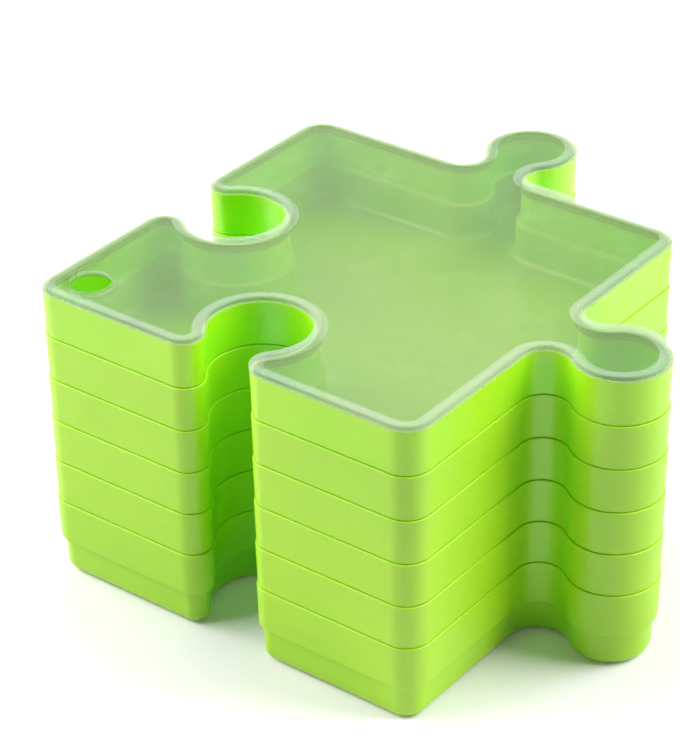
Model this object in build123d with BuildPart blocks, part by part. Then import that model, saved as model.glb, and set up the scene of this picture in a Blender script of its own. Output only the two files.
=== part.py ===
"""Jigsaw puzzle storage case: nesting trays in the shape of a puzzle piece, and a frosted lid."""

from build123d import *

import os
from math import cos, radians, sqrt, tan

# ---- driving dimensions, in millimetres and degrees -----------------------------------------
tray_count = 6

# plan of a tray's rim: a square with a knob on +X and +Y and a socket in -X and -Y
body_side = 200.0
corner_radius = 12.0
knob_radius = 21.0
knob_reach = 31.5  # from the side of the square out to the middle of the knob
knob_root_radius = 10.5  # concave, on both sides of the knob's neck
socket_radius = 22.6
socket_reach = 30.8  # from the side of the square in to the middle of the socket
socket_lip_radius = 9.2  # convex, on both sides of the socket's mouth

# section of a tray
tray_depth = 38.5
foot_height = 17.5  # the narrower lower part, which stands inside the tray below
wall_thickness = 1.6
floor_thickness = 2.0
wall_draft = 1.4
foot_draft = 1.7
nest_clearance = 0.8  # between a foot and the rim around it, at the shoulder
base_bevel_height = 3.6
base_bevel_angle = 42.0

# section of the lid
lid_overhang = 0.3
lid_edge_height = 3.0
lid_band_width = 3.6  # flat band along the edge, before the surface steps down
lid_recess = 1.4
lid_step_angle = 55.0
lid_rib_drop = 3.2  # how far the rib under the lid reaches into the top tray
lid_rib_thickness = 1.5
lid_rib_clearance = 0.4
finger_hole_diameter = 18.4
finger_hole_inset = 18.2  # from both sides of the square to the middle of the hole
finger_collar_width = 2.0
finger_collar_drop = 1.3

# ---- sizes that follow from them ------------------------------------------------------------
half_side = body_side / 2
nest_pitch = tray_depth - foot_height
lid_seat = (tray_count - 1) * nest_pitch + tray_depth
finger_hole_place = finger_hole_inset - half_side


def slope(angle):
    """Sideways run of one millimetre of height at an angle from upright."""
    return tan(radians(angle))


def knob_side(inset):
    """A knob's middle and radius, its roots' middle, radius and spread, and its way out."""
    return (
        half_side + knob_reach,
        knob_radius - inset,
        half_side + knob_root_radius,
        knob_root_radius + inset,
        sqrt((knob_radius + knob_root_radius) ** 2 - (knob_reach - knob_root_radius) ** 2),
        1,
    )


def socket_side(inset):
    """A socket's middle and radius, its lips' middle, radius and spread, and its way in."""
    return (
        half_side - socket_reach,
        socket_radius + inset,
        half_side - socket_lip_radius,
        socket_lip_radius - inset,
        sqrt((socket_radius + socket_lip_radius) ** 2 - (socket_reach - socket_lip_radius) ** 2),
        -1,
    )


def arc_points(centre, radius, first, last):
    """Start, middle and end of the arc about centre, from the direction of first to that of last."""
    start = (first - centre).normalized()
    end = (last - centre).normalized()
    middle = (start + end).normalized()
    return [centre + start * radius, centre + middle * radius, centre + end * radius]


def side_arcs(inset, side):
    """The three arcs of one side and the corner after it, with +Y as the side's outward way."""
    bulb_middle, bulb_radius, root_middle, root_radius, spread, way = side(inset)
    bulb = Vector(0, bulb_middle)
    left_root = Vector(-spread, root_middle)
    right_root = Vector(spread, root_middle)
    to_line = Vector(0, -way)
    left_arc = arc_points(left_root, root_radius, left_root + to_line, bulb)
    right_arc = arc_points(right_root, root_radius, bulb, right_root + to_line)
    bulb_arc = [left_arc[2], bulb + Vector(0, way * bulb_radius), right_arc[0]]
    corner = Vector(half_side - corner_radius, half_side - corner_radius)
    corner_arc = arc_points(corner, corner_radius - inset, corner + Vector(0, 1), corner + Vector(1, 0))
    return [left_arc, bulb_arc, right_arc, corner_arc]


def puzzle_piece(inset):
    """Closed sketch of the puzzle piece, its edge set in from the rim's outline by inset."""
    arcs = []
    for quarter, side in enumerate([knob_side, knob_side, socket_side, socket_side]):
        for arc in side_arcs(inset, side):
            arcs.append([point.rotate(Axis.Z, -90 * quarter) for point in arc])
    with BuildSketch(mode=Mode.PRIVATE) as piece:
        with BuildLine():
            for arc, next_arc in zip(arcs, arcs[1:] + arcs[:1]):
                ThreePointArc(*arc)
                if (next_arc[0] - arc[2]).length > 0.001:
                    Line(arc[2], next_arc[0])
        make_face()
    return piece.sketch


def slab(bottom, top, inset, draft=0.0, mode=Mode.ADD):
    """Slab of the puzzle piece between two heights, inset at its bottom and widening upwards."""
    with BuildSketch(Plane.XY.offset(bottom)) as profile:
        add(puzzle_piece(inset))
    extrude(profile.sketch, amount=top - bottom, taper=-draft, mode=mode)


def wall_inset(height):
    """How far a tray's wall stands inside its rim's outline, at a height above its base."""
    return (tray_depth - height) * slope(wall_draft)


def foot_inset(height):
    """The same for the foot, which clears the rim that it stands in."""
    at_shoulder = wall_thickness + nest_clearance
    return at_shoulder + (foot_height - height) * slope(foot_draft)


def bevel_inset(height):
    """The same for the bevelled edge under the foot."""
    return foot_inset(base_bevel_height) + (base_bevel_height - height) * slope(base_bevel_angle)


def make_tray(number):
    """One tray of the stack, numbered from the bottom."""
    base = (number - 1) * nest_pitch
    shoulder = base + foot_height
    rim = base + tray_depth
    ledge = shoulder + wall_thickness
    bevel_wall = wall_thickness / cos(radians(base_bevel_angle))
    inner_rise = (bevel_wall - wall_thickness) / (slope(base_bevel_angle) - slope(foot_draft))
    inner_bevel_top = base_bevel_height + inner_rise
    with BuildPart() as tray:
        slab(base, base + base_bevel_height, bevel_inset(0), base_bevel_angle)
        slab(base + base_bevel_height, shoulder, foot_inset(base_bevel_height), foot_draft)
        slab(shoulder, rim, wall_inset(foot_height), wall_draft)
        floor_inset = bevel_inset(floor_thickness) + bevel_wall
        slab(base + floor_thickness, base + inner_bevel_top, floor_inset, base_bevel_angle, Mode.SUBTRACT)
        foot_cavity_inset = foot_inset(inner_bevel_top) + wall_thickness
        slab(base + inner_bevel_top, ledge, foot_cavity_inset, foot_draft, Mode.SUBTRACT)
        ledge_inset = wall_inset(foot_height + wall_thickness) + wall_thickness
        slab(ledge, rim, ledge_inset, wall_draft, Mode.SUBTRACT)
    tray.part.label = f"tray_{number}"
    export_step(tray.part, f"parts/tray_{number}.step")
    return tray.part


def make_lid():
    """The lid: a flat band on the top tray's rim, a sunk panel, a rib inside the rim, a finger hole."""
    top = lid_seat + lid_edge_height
    panel = top - lid_recess
    rib_bottom = lid_seat - lid_rib_drop
    rib_inset = wall_thickness + lid_rib_clearance + lid_rib_drop * slope(wall_draft)
    with BuildPart() as lid:
        slab(lid_seat, top, -lid_overhang)
        panel_inset = lid_band_width - lid_overhang + lid_recess * slope(lid_step_angle)
        slab(panel, top, panel_inset, lid_step_angle, Mode.SUBTRACT)
        slab(rib_bottom, lid_seat, rib_inset, wall_draft)
        slab(rib_bottom, lid_seat, rib_inset + lid_rib_thickness, wall_draft, Mode.SUBTRACT)
        with BuildSketch(Plane.XY.offset(lid_seat - finger_collar_drop)) as collar:
            with Locations((finger_hole_place, finger_hole_place)):
                Circle(finger_hole_diameter / 2 + finger_collar_width)
        extrude(collar.sketch, amount=finger_collar_drop)
        with BuildSketch(Plane.XY.offset(lid_seat - finger_collar_drop)) as hole:
            with Locations((finger_hole_place, finger_hole_place)):
                Circle(finger_hole_diameter / 2)
        extrude(hole.sketch, amount=top - lid_seat + finger_collar_drop, mode=Mode.SUBTRACT)
    lid.part.label = "lid"
    export_step(lid.part, "parts/lid.step")
    return lid.part


os.makedirs("parts", exist_ok=True)
for number in range(1, tray_count + 1):
    make_tray(number)
make_lid()
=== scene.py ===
"""Puzzle storage case: six nesting trays in the shape of a puzzle piece, and a frosted lid."""

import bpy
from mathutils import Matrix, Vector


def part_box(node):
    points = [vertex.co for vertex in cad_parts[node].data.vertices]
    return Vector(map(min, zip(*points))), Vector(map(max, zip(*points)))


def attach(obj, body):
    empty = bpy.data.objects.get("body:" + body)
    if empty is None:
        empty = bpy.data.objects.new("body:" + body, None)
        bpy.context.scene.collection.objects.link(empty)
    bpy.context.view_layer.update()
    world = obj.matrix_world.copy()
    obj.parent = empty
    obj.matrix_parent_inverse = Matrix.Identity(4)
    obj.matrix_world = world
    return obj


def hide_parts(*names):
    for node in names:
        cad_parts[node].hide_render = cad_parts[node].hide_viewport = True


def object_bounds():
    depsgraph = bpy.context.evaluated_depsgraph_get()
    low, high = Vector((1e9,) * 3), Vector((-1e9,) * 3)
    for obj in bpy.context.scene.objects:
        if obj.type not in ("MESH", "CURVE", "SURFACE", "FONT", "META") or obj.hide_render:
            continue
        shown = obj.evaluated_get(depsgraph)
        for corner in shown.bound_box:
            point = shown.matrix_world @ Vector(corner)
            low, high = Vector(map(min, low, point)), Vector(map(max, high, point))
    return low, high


bl_info = {
    "name": "Puzzle Storage Case",
    "version": (1, 0, 0),
    "blender": (4, 5, 0),
    "location": "View3D > Sidebar > Puzzle Case",
    "description": "Dresses the nesting trays and the lid of a puzzle storage case",
    "category": "Object",
}

import math

import bmesh
import bpy
from mathutils import Matrix, Vector

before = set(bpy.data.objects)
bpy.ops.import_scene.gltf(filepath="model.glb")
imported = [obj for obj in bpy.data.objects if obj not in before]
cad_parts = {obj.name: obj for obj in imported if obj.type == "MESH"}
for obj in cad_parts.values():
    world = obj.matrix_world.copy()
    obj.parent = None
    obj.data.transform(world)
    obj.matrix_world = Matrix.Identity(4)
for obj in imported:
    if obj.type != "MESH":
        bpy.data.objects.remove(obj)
cad_low, cad_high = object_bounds()

TRAYS = sorted(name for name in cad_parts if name.startswith("tray_"))
LID = "lid"
MM = 0.001
OUTWARDS = {"knob": 1, "socket": -1}
SIDES = ("knob", "knob", "socket", "socket")  # +Y, +X, -Y, -X
SOFTBOXES = (  # name, place in metres and power in watts
    ("left_softbox", (-1.5, -0.2, 0.7), 19.8),
    ("low_left_softbox", (-1.05, -1.0, 0.75), 5.6),
    ("high_left_softbox", (-0.9, -0.8, 1.4), 16.5),
    ("right_softbox", (1.15, 0.75, 0.75), 12.0),
    ("high_right_softbox", (0.9, 0.6, 1.4), 20.0),
    ("back_softbox", (-1.0, 1.0, 0.9), 8.0),
)
FLOOR_LIFT = (0.3, 1.6, 0.05, 1.0)  # nearer and farther place in metres, and the floor's glow at both

HOLE_SEGMENTS = 48
MERGE_DISTANCE = 1e-6
LEVEL_NORMAL = 0.99  # upright share of the normal of a face that counts as level
CLEAR_RISE = 0.05 * MM  # a face that is higher than this above a surface isn't part of it

PLASTIC_IOR = 1.49
TRAY_CLOUDS = 14.0  # denser and thinner patches of the lime plastic, to the metre
HOLLOW_SHADE_SHARES = (0.30, 0.78)  # openness at which the painted hollow shade is full, and at which it is gone
TRAY_RUB = (60.0, -0.05, 0.06)  # patches to the metre, and what they take from and add to the roughness
LID_RUB = (45.0, -0.06, 0.08)
TRAY_WAVES = (22.0, 0.0012, 0.10)  # waves to the metre, their height in metres and their strength
LID_WAVES = (16.0, 0.0015, 0.12)
TRAY_GRAIN = (2600.0, 0.00005, 0.25)  # the same for the grain
LID_GRAIN = (900.0, 0.00004, 0.06)


def length(name, description, default_mm):
    """A size of the case, given in millimetres and kept in metres."""
    default = default_mm * MM
    return bpy.props.FloatProperty(
        name=name, description=description, default=default, precision=5, subtype="DISTANCE", unit="LENGTH"
    )


def angle(name, description, default_degrees):
    """An angle of the case or the stage, given in degrees and kept in radians."""
    default = math.radians(default_degrees)
    return bpy.props.FloatProperty(
        name=name, description=description, default=default, subtype="ANGLE", unit="ROTATION"
    )


def colour(name, description, default):
    """A colour a user may change."""
    return bpy.props.FloatVectorProperty(
        name=name, description=description, default=default, size=3, min=0.0, max=1.0, subtype="COLOR"
    )


def number(name, description, default):
    """A plain number a user may change."""
    return bpy.props.FloatProperty(name=name, description=description, default=default)


# ---- sizes and colours that a user would change ---------------------------------------------


class PuzzleOutline(bpy.types.PropertyGroup):
    """Plan of a tray's rim: a square with two knobs and two sockets."""

    body_side: length("Body side", "Side of the square between its knobs and sockets", 200.0)
    corner_radius: length("Corner radius", "Rounding of the square's corners", 12.0)
    knob_radius: length("Knob radius", "Radius of a knob", 21.0)
    knob_reach: length("Knob reach", "From the side of the square out to a knob's middle", 31.5)
    knob_root_radius: length("Knob root radius", "Hollow on both sides of a knob's neck", 10.5)
    socket_radius: length("Socket radius", "Radius of a socket", 22.6)
    socket_reach: length("Socket reach", "From the side of the square in to a socket's middle", 30.8)
    socket_lip_radius: length("Socket lip radius", "Rounding on both sides of a socket's mouth", 9.2)
    arc_step: angle("Arc step", "Longest turn of the outline in one edge", 7.5)


class TraySection(bpy.types.PropertyGroup):
    """Section of a tray, from its foot to its rim."""

    foot_height: length("Foot height", "Height of the foot that stands in the tray below", 17.5)
    wall: length("Wall", "Thickness of the walls", 1.6)
    floor: length("Floor", "Thickness of the floor", 2.0)
    wall_draft: angle("Wall draft", "Lean of the upper wall", 1.4)
    foot_draft: angle("Foot draft", "Lean of the foot", 1.7)
    nest_clearance: length("Nest clearance", "Between a foot and the rim around it", 0.8)
    base_rounding: length("Base rounding", "Radius of the edge under the foot", 5.0)
    floor_rounding: length("Floor rounding", "Radius between the floor and the foot's wall", 3.4)
    rim_rounding: length("Rim rounding", "Radius of the rim's outer edge", 0.42)
    inner_rim_rounding: length("Inner rim rounding", "Radius of the rim's inner edge", 0.336)
    shoulder_rounding: length("Shoulder rounding", "Radius of the shoulder's lower edge", 0.9)
    shoulder_hollow: length("Shoulder hollow", "Radius where the foot meets the shoulder", 0.5)
    ledge_rounding: length("Ledge rounding", "Radius of the ledge inside the tray", 0.8)
    flat_strip: length("Flat strip", "Flat floor beside a rounding, to keep its shading flat", 0.8)


class LidSection(bpy.types.PropertyGroup):
    """Section of the lid, and its finger hole."""

    overhang: length("Overhang", "How far the lid stands past the rim", 0.3)
    seat_gap: length("Seat gap", "Air between the lid and the rim under it", 0.08)
    band_width: length("Band width", "Flat band along the lid's edge", 3.6)
    recess: length("Recess", "Depth of the sunk panel", 1.4)
    step_angle: angle("Step angle", "Slope between the band and the panel", 55.0)
    edge_rounding: length("Edge rounding", "Radius of the lid's outer edge", 0.7)
    band_rounding: length("Band rounding", "Radius at the top and the foot of the step", 0.8)
    root_rounding: length("Root rounding", "Radius where the rib's inside meets the panel", 0.4)
    lower_rounding: length("Lower rounding", "Radius of the other corners under the lid", 0.3)
    flat_strip: length("Flat strip", "Flat panel beside a rounding, to keep its shading flat", 1.5)
    rib_clearance: length("Rib clearance", "Between the rib and the tray's wall", 0.4)
    rib_thickness: length("Rib thickness", "Thickness of the rib under the lid", 1.5)
    hole_diameter: length("Hole diameter", "Diameter of the finger hole", 18.4)
    hole_inset: length("Hole inset", "From both sides of the square to the hole's middle", 18.2)
    collar_width: length("Collar width", "Width of the collar around the finger hole", 2.0)
    collar_drop: length("Collar drop", "How far the collar reaches under the lid", 1.3)


class CaseFinish(bpy.types.PropertyGroup):
    """Colours and shine of the two plastics."""

    tray_colour: colour("Tray colour", "Lime plastic", (0.47, 0.87, 0.010))
    tray_shade: colour("Tray shade", "Lime plastic where it is a little denser", (0.42, 0.83, 0.008))
    # Painted shade: the hollow colour darkens and greens the lime where the tray's own walls close in, in
    # sockets, necks and seams.
    hollow_shade_colour: colour("Hollow colour", "Deeper green where walls stand close", (0.20, 0.78, 0.004))
    hollow_shade_reach: length("Hollow depth", "How far around a spot walls deepen its colour", 60.0)
    tray_roughness: number("Tray roughness", "Roughness of the satin trays", 0.36)
    # Milky plastic tinted green with painted light: the trays' green light that scatters in the real lid.
    lid_colour_and_tray_light: colour("Lid colour", "Milky plastic", (0.21, 0.31, 0.09))
    lid_cover: number("Lid cover", "Share of the view that one surface of the lid's panel covers", 0.30)
    edge_colour: colour("Lid edge colour", "Milky plastic along the lid's edge", (0.64, 0.66, 0.62))
    edge_cover: number("Lid edge cover", "The same share along the lid's edge and round its hole", 0.34)
    lid_roughness: number("Lid roughness", "Roughness of the frosted lid", 0.30)


class StudioSet(bpy.types.PropertyGroup):
    """Camera, lamps and floor."""

    camera_place: bpy.props.FloatVectorProperty(
        name="Camera place", description="Where the camera stands", default=(0.62433, -0.82769, 0.72068),
        subtype="TRANSLATION", unit="LENGTH",
    )
    azimuth: angle("Azimuth", "Camera's turn from looking along +Y", 37.556)
    elevation: angle("Elevation", "How far the camera looks down", 31.30)
    roll: angle("Roll", "Turn of the camera about its own line of sight", -0.84)
    lens: number("Lens", "Focal length in millimetres", 134.72)
    lamp_size: length("Lamp size", "Side of a square softbox", 1000.0)
    sky: number("Sky", "Strength of the white world as a lamp", 0.03)
    floor_radius: length("Floor radius", "How far the floor reaches", 6000.0)
    floor_colour: colour("Floor colour", "The floor as the camera sees it", (0.98, 0.93, 1.0))
    floor_bounce: colour("Floor bounce", "The floor as it throws light on the case", (0.72, 0.72, 0.72))


# ---- outline of the puzzle piece ------------------------------------------------------------


def side_centres(outline, side):
    """Middle of a side's bulb and of its right-hand root, outwards being +Y."""
    half = outline.body_side / 2
    way = OUTWARDS[side]
    if side == "knob":
        reach, bulb_radius = outline.knob_reach, outline.knob_radius
        root_radius = outline.knob_root_radius
    else:
        reach, bulb_radius = outline.socket_reach, outline.socket_radius
        root_radius = outline.socket_lip_radius
    rise = reach - root_radius
    spread = math.sqrt((bulb_radius + root_radius) ** 2 - rise**2)
    bulb = Vector((0, half + way * reach, 0))
    root = Vector((spread, half + way * root_radius, 0))
    return bulb, root


def draw_arc(bm, corner, centre, turn, step):
    """Spins the last corner about a centre and gives the new last corner."""
    steps = math.ceil(abs(turn) / step)
    spun = bmesh.ops.spin(bm, geom=[corner], cent=centre, axis=(0, 0, 1), angle=turn, steps=steps)
    return next(element for element in spun["geom_last"] if isinstance(element, bmesh.types.BMVert))


def draw_run(bm, corner, end):
    """Draws a straight edge from the last corner to a point and gives the new last corner."""
    drawn = bmesh.ops.extrude_vert_indiv(bm, verts=[corner])
    drawn["verts"][0].co = end
    return drawn["verts"][0]


def draw_side(bm, corner, outline, side, quarter, inset, height):
    """Draws one side of the outline and the corner after it."""
    half = outline.body_side / 2
    way = OUTWARDS[side]
    turned = Matrix.Rotation(-quarter * math.pi / 2, 3, "Z")
    lift = Vector((0, 0, height))
    bulb, root = side_centres(outline, side)
    left_root = Vector((-root.x, root.y, 0))
    root_turn = math.pi / 2 + math.atan2(abs(bulb.y - root.y), root.x)
    edge = half - inset
    corner_centre = Vector((half - outline.corner_radius, half - outline.corner_radius, 0))

    def place(point):
        return turned @ point + lift

    corner = draw_run(bm, corner, place(Vector((-root.x, edge, 0))))
    corner = draw_arc(bm, corner, place(left_root), way * root_turn, outline.arc_step)
    corner = draw_arc(bm, corner, place(bulb), -way * 2 * root_turn, outline.arc_step)
    corner = draw_arc(bm, corner, place(root), way * root_turn, outline.arc_step)
    corner = draw_run(bm, corner, place(Vector((corner_centre.x, edge, 0))))
    return draw_arc(bm, corner, place(corner_centre), -math.pi / 2, outline.arc_step)


def ring_points(outline, inset, height):
    """Points of the closed outline at an inset and a height, drawn in a small bmesh for speed."""
    ring = bmesh.new()
    half = outline.body_side / 2
    first = ring.verts.new((outline.corner_radius - half, half - inset, height))
    last = first
    for quarter, side in enumerate(SIDES):
        last = draw_side(ring, last, outline, side, quarter, inset, height)
    bmesh.ops.delete(ring, geom=[last], context="VERTS")
    points = [vert.co.copy() for vert in ring.verts]
    ring.free()
    return points


def first_ring(bm, points):
    """Draws a ring through points and gives its corners in order and its edges."""
    corners = [bm.verts.new(point) for point in points]
    edges = [bm.edges.new(pair) for pair in zip(corners, corners[1:] + corners[:1])]
    return corners, edges


def extrude_edges(bm, edges):
    """Extrudes a ring's edges and gives the vertices and the edges of the new ring."""
    drawn = bmesh.ops.extrude_edge_only(bm, edges=edges)["geom"]
    fresh = [element for element in drawn if isinstance(element, bmesh.types.BMVert)]
    known = set(fresh)
    far_edges = [
        element
        for element in drawn
        if isinstance(element, bmesh.types.BMEdge) and known.issuperset(element.verts)
    ]
    return fresh, far_edges


def next_ring(bm, ring, points):
    """Extrudes a ring to the next one, which runs through points, and gives that one."""
    corners, edges = ring
    fresh, far_edges = extrude_edges(bm, edges)
    known = set(fresh)
    onward = []
    for corner, point in zip(corners, points):
        rung = next(edge for edge in corner.link_edges if edge.other_vert(corner) in known)
        onward.append(rung.other_vert(corner))
        onward[-1].co = point
    return onward, far_edges


def sweep_section(bm, outline, corners):
    """Carries a section round the outline and gives the first and the last ring."""
    first = last = None
    for inset, height in rounded_section(corners):
        points = ring_points(outline, inset, height)
        if first is None:
            first = last = first_ring(bm, points)
        else:
            last = next_ring(bm, last, points)
    return first[1], last[1]


def rounded_section(corners):
    """Rounds a section's corners and gives its points in order, each as an inset and a height.

    A corner is its inset, its height, the length that its rounding takes from both its edges, and the
    segments of its rounding, which are 0 where it stays sharp.
    """
    wire = bmesh.new()
    verts = [wire.verts.new((inset, height, 0)) for inset, height, _, _ in corners]
    for first, second in zip(verts, verts[1:]):
        wire.edges.new((first, second))
    for vert, (_, _, rounding, segments) in zip(verts, corners):
        if segments:
            bmesh.ops.bevel(
                wire,
                geom=[vert],
                offset=rounding,
                offset_type="OFFSET",
                affect="VERTICES",
                segments=segments,
                profile=0.5,
                material=-1,
            )
    vert = verts[0]
    points = [vert.co.xy]
    onward = list(vert.link_edges)
    while onward:
        edge = onward[0]
        vert = edge.other_vert(vert)
        points.append(vert.co.xy)
        onward = [link for link in vert.link_edges if link is not edge]
    wire.free()
    return points


def finish_mesh(bm, name):
    """Closes, smooths and turns outwards a piece's mesh, and gives its object."""
    bmesh.ops.remove_doubles(bm, verts=bm.verts, dist=MERGE_DISTANCE)
    bmesh.ops.recalc_face_normals(bm, faces=bm.faces)
    mesh = bpy.data.meshes.new(name)
    bm.to_mesh(mesh)
    bm.free()
    mesh.shade_smooth()
    piece = bpy.data.objects.new(name, mesh)
    bpy.context.scene.collection.objects.link(piece)
    return piece


def even_normals(piece):
    """Keeps the flat faces flat between the roundings."""
    weighted = piece.modifiers.new("Even normals", "WEIGHTED_NORMAL")
    weighted.mode = "FACE_AREA_WITH_ANGLE"
    weighted.weight = 100
    weighted.keep_sharp = True


# ---- trays ----------------------------------------------------------------------------------


def foot_inset(section, height):
    """How far the foot stands inside the rim's outline at a height above its base."""
    at_shoulder = section.wall + section.nest_clearance
    return at_shoulder + (section.foot_height - height) * math.tan(section.foot_draft)


def wall_inset(section, depth, height):
    """The same for the wall above the shoulder."""
    return (depth - height) * math.tan(section.wall_draft)


def tray_mesh(outline, section, depth):
    """A bmesh of one tray with its base at height 0."""
    bm = bmesh.new()
    ledge = section.foot_height + section.wall
    base = foot_inset(section, 0)
    floor = foot_inset(section, section.floor) + section.wall
    inner_foot = foot_inset(section, ledge) + section.wall
    inner_wall = wall_inset(section, depth, ledge) + section.wall
    shoulder = wall_inset(section, depth, section.foot_height)
    profile = [
        (base + section.base_rounding + section.flat_strip, 0, 0, 0),
        (base, 0, section.base_rounding, 6),
        (foot_inset(section, section.foot_height), section.foot_height, section.shoulder_hollow, 2),
        (shoulder, section.foot_height, section.shoulder_rounding, 3),
        (0, depth, section.rim_rounding, 4),
        (section.wall, depth, section.inner_rim_rounding, 3),
        (inner_wall, ledge, section.ledge_rounding, 3),
        (inner_foot, ledge, section.ledge_rounding, 3),
        (floor, section.floor, section.floor_rounding, 5),
        (floor + section.floor_rounding + section.flat_strip, section.floor, 0, 0),
    ]
    under, floor_edge = sweep_section(bm, outline, profile)
    bmesh.ops.edgeloop_fill(bm, edges=under)
    bmesh.ops.edgeloop_fill(bm, edges=floor_edge)
    return bm


# ---- lid ------------------------------------------------------------------------------------


def extrude_circle(bm, edges, drop, widening, middle):
    """Extrudes a circle downwards or to a wider one about its middle and gives the new circle's edges."""
    fresh, far_edges = extrude_edges(bm, edges)
    bmesh.ops.translate(bm, verts=fresh, vec=(0, 0, -drop))
    bmesh.ops.scale(bm, verts=fresh, vec=(widening, widening, 1), space=Matrix.Translation(-middle))
    return far_edges


def make_finger_hole(bm, outline, section, panel, seat, panel_edge, under):
    """Closes the panel round the finger hole, and the underside round the hole's collar."""
    centre = section.hole_inset - outline.body_side / 2
    middle = Vector((centre, centre, 0))
    hole_radius = section.hole_diameter / 2
    widening = 1 + section.collar_width / hole_radius
    circle = bmesh.ops.create_circle(bm, segments=HOLE_SEGMENTS, radius=hole_radius)["verts"]
    bmesh.ops.translate(bm, verts=circle, vec=(centre, centre, panel))
    hole = list({edge for vert in circle for edge in vert.link_edges})
    bmesh.ops.triangle_fill(bm, edges=panel_edge + hole, use_beauty=True, normal=(0, 0, 1))
    foot = extrude_circle(bm, hole, panel - seat + section.collar_drop, 1, middle)
    rim = extrude_circle(bm, foot, 0, widening, middle)
    root = extrude_circle(bm, rim, -section.collar_drop, 1, middle)
    bmesh.ops.triangle_fill(bm, edges=under + root, use_beauty=True, normal=(0, 0, -1))


def mark_edge_faces(bm, panel, seat):
    """Gives the edge's plastic to all above the panel, and to the upright faces between it and the seat."""
    bm.normal_update()
    for face in bm.faces:
        height = face.calc_center_median().z
        level = abs(face.normal.z) > LEVEL_NORMAL
        if height > panel + CLEAR_RISE or (height > seat + CLEAR_RISE and not level):
            face.material_index = 1


def lid_mesh(outline, tray, section, bottom, seat, top):
    """A bmesh of the lid, from the rib's lower edge at bottom to the band at top."""
    bm = bmesh.new()
    seat = seat + section.seat_gap
    panel = top - section.recess
    rib = tray.wall + section.rib_clearance
    rib_lean = (seat - bottom) * math.tan(tray.wall_draft)
    rib_inside = rib + section.rib_thickness
    band = section.band_width - section.overhang
    step = band + section.recess * math.tan(section.step_angle)
    profile = [
        (rib_inside + section.flat_strip, seat, 0, 0),
        (rib_inside, seat, section.root_rounding, 2),
        (rib_inside + rib_lean, bottom, section.lower_rounding, 2),
        (rib + rib_lean, bottom, section.lower_rounding, 2),
        (rib, seat, section.lower_rounding, 2),
        (-section.overhang, seat, section.lower_rounding, 2),
        (-section.overhang, top, section.edge_rounding, 4),
        (band, top, section.band_rounding, 3),
        (step, panel, section.band_rounding, 3),
        (step + section.flat_strip, panel, 0, 0),
    ]
    under, panel_edge = sweep_section(bm, outline, profile)
    make_finger_hole(bm, outline, section, panel, seat, panel_edge, under)
    mark_edge_faces(bm, panel, seat)
    return bm


# ---- plastics -------------------------------------------------------------------------------


def new_material(name):
    """A new material, its nodes and links, its Principled shader and its Object coordinates."""
    material = bpy.data.materials.new(name)
    material.use_nodes = True
    nodes, links = material.node_tree.nodes, material.node_tree.links
    shader = nodes["Principled BSDF"]
    place = nodes.new("ShaderNodeTexCoord")
    return material, nodes, links, shader, place.outputs["Object"]


def cloud(nodes, links, place, scale, detail=2.0, roughness=0.5):
    """Noise over Object coordinates, with about scale clouds to the metre."""
    noise = nodes.new("ShaderNodeTexNoise")
    noise.inputs["Scale"].default_value = scale
    noise.inputs["Detail"].default_value = detail
    noise.inputs["Roughness"].default_value = roughness
    links.new(place, noise.inputs["Vector"])
    return noise.outputs["Fac"]


def spread(nodes, links, value, low, high, new_low=0.0, new_high=1.0):
    """Maps a value's range from low..high to new_low..new_high."""
    mapped = nodes.new("ShaderNodeMapRange")
    mapped.inputs["From Min"].default_value = low
    mapped.inputs["From Max"].default_value = high
    mapped.inputs["To Min"].default_value = new_low
    mapped.inputs["To Max"].default_value = new_high
    links.new(value, mapped.inputs["Value"])
    return mapped.outputs["Result"]


def feed_colour(links, value, socket):
    """Sets a plain colour on a socket, or links another node's colour to it."""
    if isinstance(value, bpy.types.NodeSocket):
        links.new(value, socket)
    else:
        socket.default_value = (*value, 1)


def blend_colours(nodes, links, share, first, second):
    """Mixes two colours by a share."""
    mix = nodes.new("ShaderNodeMix")
    mix.data_type = "RGBA"
    feed_colour(links, first, mix.inputs["A"])
    feed_colour(links, second, mix.inputs["B"])
    links.new(share, mix.inputs["Factor"])
    return mix.outputs["Result"]


def add_bump(nodes, links, shader, height, distance, strength, below=None):
    """Raises the surface by a height field, over another bump if one is given."""
    bump = nodes.new("ShaderNodeBump")
    bump.inputs["Distance"].default_value = distance
    bump.inputs["Strength"].default_value = strength
    links.new(height, bump.inputs["Height"])
    if below is not None:
        links.new(below, bump.inputs["Normal"])
    links.new(bump.outputs["Normal"], shader.inputs["Normal"])
    return bump.outputs["Normal"]


def moulded_surface(nodes, links, shader, place, roughness, rub, waves, grain):
    """Gives a plastic its rubbed shine, its slight waves and its grain."""
    patches, smoother, rougher = rub
    shine = cloud(nodes, links, place, patches, 4.0, 0.6)
    shine = spread(nodes, links, shine, 0.3, 0.7, roughness + smoother, roughness + rougher)
    links.new(shine, shader.inputs["Roughness"])
    bump = None
    for scale, height, strength in (waves, grain):
        field = cloud(nodes, links, place, scale, 1.0)
        bump = add_bump(nodes, links, shader, field, height, strength, bump)
    shader.inputs["IOR"].default_value = PLASTIC_IOR


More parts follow.
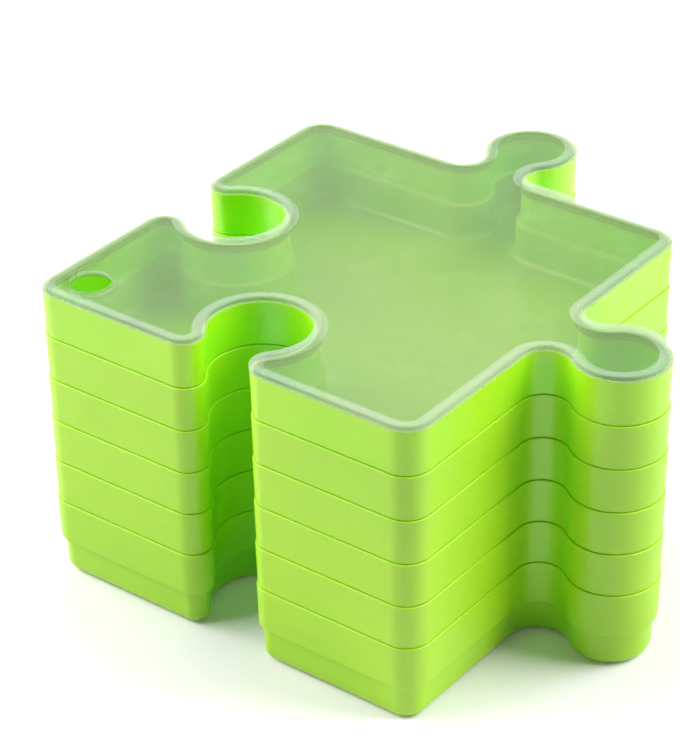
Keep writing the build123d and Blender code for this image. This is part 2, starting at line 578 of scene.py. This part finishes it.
def lime_plastic(finish):
    """Satin injection-moulded plastic that lets a little light through, with painted shade in its hollows.
    """
    material, nodes, links, shader, place = new_material("lime_plastic")
    density = spread(nodes, links, cloud(nodes, links, place, TRAY_CLOUDS), 0.35, 0.65)
    open_colour = blend_colours(nodes, links, density, finish.tray_shade, finish.tray_colour)
    # Painted shade: ambient occlusion from the tray's own shape mixes the deeper green into hollows,
    # sockets and seams.
    hollow = nodes.new("ShaderNodeAmbientOcclusion")
    hollow.samples = 6
    hollow.only_local = True
    hollow.inputs["Distance"].default_value = finish.hollow_shade_reach
    openness = spread(nodes, links, hollow.outputs["AO"], *HOLLOW_SHADE_SHARES)
    tint_and_painted_light = blend_colours(nodes, links, openness, finish.hollow_shade_colour, open_colour)
    links.new(tint_and_painted_light, shader.inputs["Base Color"])
    moulded_surface(nodes, links, shader, place, finish.tray_roughness, TRAY_RUB, TRAY_WAVES, TRAY_GRAIN)
    shader.inputs["Specular IOR Level"].default_value = 0.8
    shader.inputs["Subsurface Weight"].default_value = 0.35
    shader.inputs["Subsurface Radius"].default_value = (0.6, 1.0, 0.1)
    shader.inputs["Subsurface Scale"].default_value = 0.004
    return material


def frosted_plastic(name, finish, tint_and_painted_light, cover):
    """Milky plastic that shows what lies under it."""
    material, nodes, links, shader, place = new_material(name)
    # For the panel, the tint holds painted green light from the trays.
    shader.inputs["Base Color"].default_value = (*tint_and_painted_light, 1)
    moulded_surface(nodes, links, shader, place, finish.lid_roughness, LID_RUB, LID_WAVES, LID_GRAIN)
    shader.inputs["Alpha"].default_value = cover
    return material


# ---- operators ------------------------------------------------------------------------------


class CASE_OT_trays(bpy.types.Operator):
    """Make the six nesting trays"""

    bl_idname = "puzzle_case.trays"
    bl_label = "Make Trays"

    def execute(self, context):
        scene = context.scene
        plastic = lime_plastic(scene.case_finish)
        low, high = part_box(TRAYS[0])
        tray_at_floor = tray_mesh(scene.puzzle_outline, scene.tray_section, high.z - low.z)
        for node in TRAYS:
            bm = tray_at_floor.copy()
            bmesh.ops.translate(bm, verts=bm.verts, vec=(0, 0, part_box(node)[0].z))
            tray = finish_mesh(bm, f"{node}_shell")
            even_normals(tray)
            tray.data.materials.append(plastic)
            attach(tray, node)
            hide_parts(node)
        tray_at_floor.free()
        return {"FINISHED"}


class CASE_OT_lid(bpy.types.Operator):
    """Make the frosted lid with its finger hole"""

    bl_idname = "puzzle_case.lid"
    bl_label = "Make Lid"

    def execute(self, context):
        scene = context.scene
        low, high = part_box(LID)
        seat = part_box(TRAYS[-1])[1].z
        bm = lid_mesh(scene.puzzle_outline, scene.tray_section, scene.lid_section, low.z, seat, high.z)
        lid = finish_mesh(bm, "lid_shell")
        even_normals(lid)
        finish = scene.case_finish
        # The panel's colour holds painted green light from the trays under it.
        panel = frosted_plastic("frosted_panel", finish, finish.lid_colour_and_tray_light, finish.lid_cover)
        edge = frosted_plastic("frosted_edge", finish, finish.edge_colour, finish.edge_cover)
        lid.data.materials.append(panel)
        lid.data.materials.append(edge)
        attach(lid, LID)
        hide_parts(LID)
        return {"FINISHED"}


def seen_rays(nodes, links):
    """Gives 1 for rays from the camera, off gloss or through a clear piece, and 0 for the rest."""
    rays = nodes.new("ShaderNodeLightPath")
    seen = rays.outputs["Is Camera Ray"]
    for kind in ("Is Glossy Ray", "Is Transmission Ray"):
        either = nodes.new("ShaderNodeMath")
        either.operation = "MAXIMUM"
        links.new(seen, either.inputs[0])
        links.new(rays.outputs[kind], either.inputs[1])
        seen = either.outputs["Value"]
    return seen


def make_floor(studio):
    """A pale floor that keeps the case's shadow and looks white to the camera."""
    bm = bmesh.new()
    bmesh.ops.create_circle(bm, cap_ends=True, segments=64, radius=studio.floor_radius)
    floor = finish_mesh(bm, "studio_floor")
    material, nodes, links, shader, place = new_material("floor_paper")
    shader.inputs["Roughness"].default_value = 0.9
    shader.inputs["Specular IOR Level"].default_value = 0.0
    seen = seen_rays(nodes, links)
    paper = blend_colours(nodes, links, seen, studio.floor_bounce, studio.floor_colour)
    links.new(paper, shader.inputs["Base Color"])
    away = nodes.new("ShaderNodeVectorMath")
    away.operation = "LENGTH"
    links.new(place, away.inputs[0])
    lift = nodes.new("ShaderNodeMath")
    lift.operation = "MULTIPLY"
    links.new(seen, lift.inputs[0])
    links.new(spread(nodes, links, away.outputs["Value"], *FLOOR_LIFT), lift.inputs[1])
    shader.inputs["Emission Color"].default_value = (1, 1, 1, 1)
    links.new(lift.outputs["Value"], shader.inputs["Emission Strength"])
    floor.data.materials.append(material)


def make_sky(strength):
    """A white world: plain fill light, and white behind the floor's edge."""
    world = bpy.data.worlds.new("studio")
    bpy.context.scene.world = world
    world.use_nodes = True
    nodes, links = world.node_tree.nodes, world.node_tree.links
    background = nodes["Background"]
    background.inputs["Color"].default_value = (1, 1, 1, 1)
    white = spread(nodes, links, seen_rays(nodes, links), 0.0, 1.0, strength, 1.0)
    links.new(white, background.inputs["Strength"])


def make_softbox(name, place, size, power):
    """A square lamp that looks at the middle of the case."""
    lamp = bpy.data.lights.new(name, "AREA")
    lamp.shape = "SQUARE"
    lamp.size = size
    lamp.energy = power
    softbox = bpy.data.objects.new(name, lamp)
    middle = (cad_low + cad_high) / 2
    softbox.location = place
    softbox.rotation_euler = (middle - Vector(place)).to_track_quat("-Z", "Y").to_euler()
    bpy.context.scene.collection.objects.link(softbox)


def make_camera(studio):
    """The camera, at the photograph's place and viewing angle."""
    camera = bpy.data.cameras.new("camera")
    camera.lens = studio.lens
    camera.sensor_width = 36.0
    camera.clip_start = 0.05
    camera.clip_end = 50.0
    view = bpy.data.objects.new("camera", camera)
    turn = Matrix.Rotation(studio.azimuth, 4, "Z") @ Matrix.Rotation(math.pi / 2 - studio.elevation, 4, "X")
    roll = Matrix.Rotation(studio.roll, 4, "Z")
    view.matrix_world = Matrix.Translation(studio.camera_place) @ turn @ roll
    bpy.context.scene.collection.objects.link(view)
    bpy.context.scene.camera = view


class CASE_OT_studio(bpy.types.Operator):
    """Make the floor, the lamps and the camera"""

    bl_idname = "puzzle_case.studio"
    bl_label = "Make Studio"

    def execute(self, context):
        studio = context.scene.studio_set
        make_floor(studio)
        make_sky(studio.sky)
        for name, place, power in SOFTBOXES:
            make_softbox(name, place, studio.lamp_size, power)
        make_camera(studio)
        context.scene.view_settings.view_transform = "Standard"
        return {"FINISHED"}


class CASE_PT_panel(bpy.types.Panel):
    """Sizes, finishes and buttons of the puzzle storage case"""

    bl_idname = "CASE_PT_panel"
    bl_label = "Puzzle Case"
    bl_space_type = "VIEW_3D"
    bl_region_type = "UI"
    bl_category = "Puzzle Case"

    def draw(self, context):
        layout = self.layout
        for group, operator in PANEL_ROWS:
            box = layout.box()
            settings = getattr(context.scene, group)
            for name in settings.__annotations__:
                box.prop(settings, name)
            if operator is not None:
                box.operator(operator)


PANEL_ROWS = (
    ("puzzle_outline", None),
    ("tray_section", CASE_OT_trays.bl_idname),
    ("lid_section", CASE_OT_lid.bl_idname),
    ("case_finish", None),
    ("studio_set", CASE_OT_studio.bl_idname),
)
GROUPS = {
    "puzzle_outline": PuzzleOutline,
    "tray_section": TraySection,
    "lid_section": LidSection,
    "case_finish": CaseFinish,
    "studio_set": StudioSet,
}
OPERATORS = (CASE_OT_trays, CASE_OT_lid, CASE_OT_studio)


def register():
    """Registers the property groups, the operators and the panel."""
    for name, group in GROUPS.items():
        bpy.utils.register_class(group)
        setattr(bpy.types.Scene, name, bpy.props.PointerProperty(type=group))
    for operator in OPERATORS:
        bpy.utils.register_class(operator)
    bpy.utils.register_class(CASE_PT_panel)


def unregister():
    """Takes them out again."""
    bpy.utils.unregister_class(CASE_PT_panel)
    for operator in reversed(OPERATORS):
        bpy.utils.unregister_class(operator)
    for name, group in reversed(GROUPS.items()):
        delattr(bpy.types.Scene, name)
        bpy.utils.unregister_class(group)


def main():
    register()
    bpy.ops.puzzle_case.trays()
    bpy.ops.puzzle_case.lid()
    bpy.ops.puzzle_case.studio()


if __name__ == "__main__":
    main()
